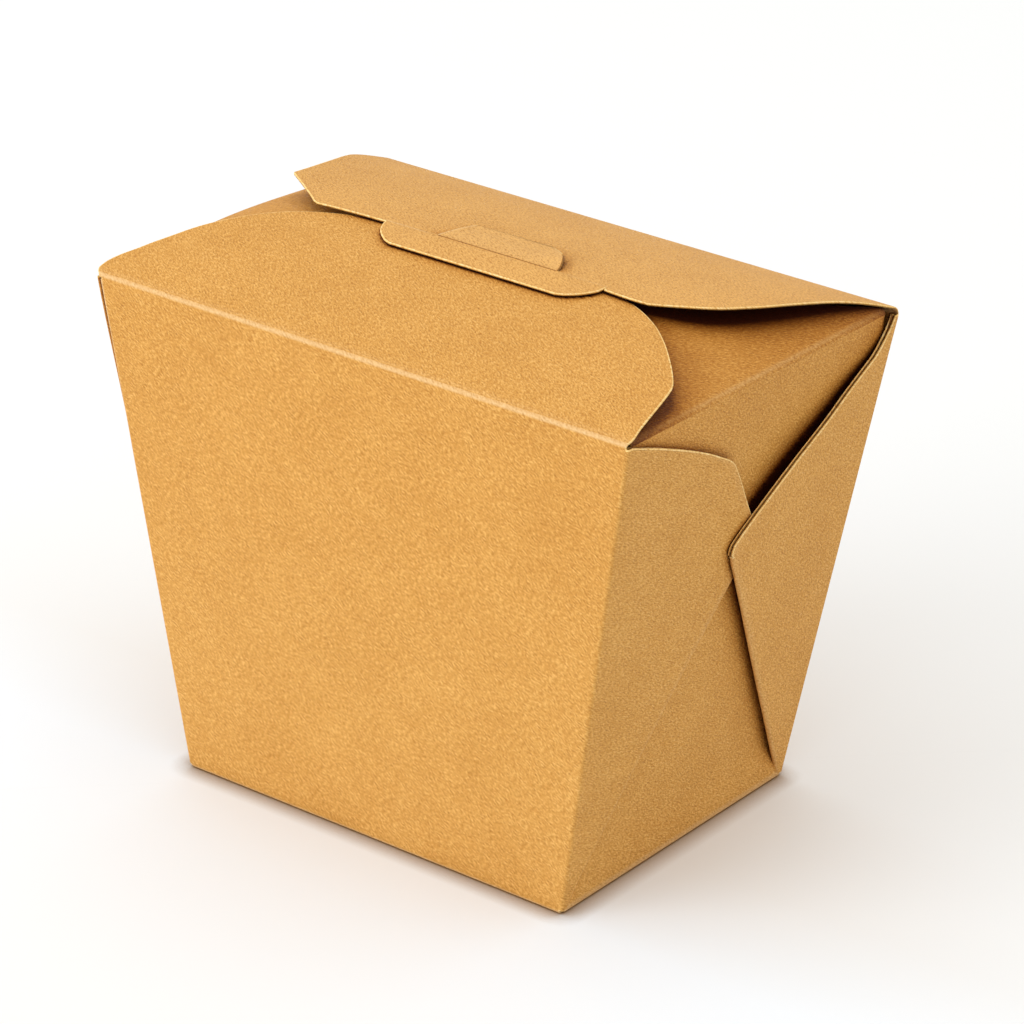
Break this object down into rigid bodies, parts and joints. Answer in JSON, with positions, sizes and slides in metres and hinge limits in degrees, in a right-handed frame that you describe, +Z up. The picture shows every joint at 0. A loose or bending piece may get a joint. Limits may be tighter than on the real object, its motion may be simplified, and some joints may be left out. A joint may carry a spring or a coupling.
{
  "type": "noodle takeaway box",
  "caption": "Shut tapered takeaway box folded from one sheet of plain kraft board, corner webs folded onto its ends, low roof of flaps locked by a tongue through a slit.",
  "frame": {"origin": "middle of the underside, on the surface that the box stands on", "axes": "+X along the wide front face, to the right seen from the front; +Y from the front face to the back; +Z up"},
  "size_m": [0.1211, 0.0856, 0.109],
  "materials": {
    "kraft_board": "plain uncoated kraft board, matte"
  },
  "bodies": {
    "root": {"carton": "kraft_board"}
  },
  "joints": []
}
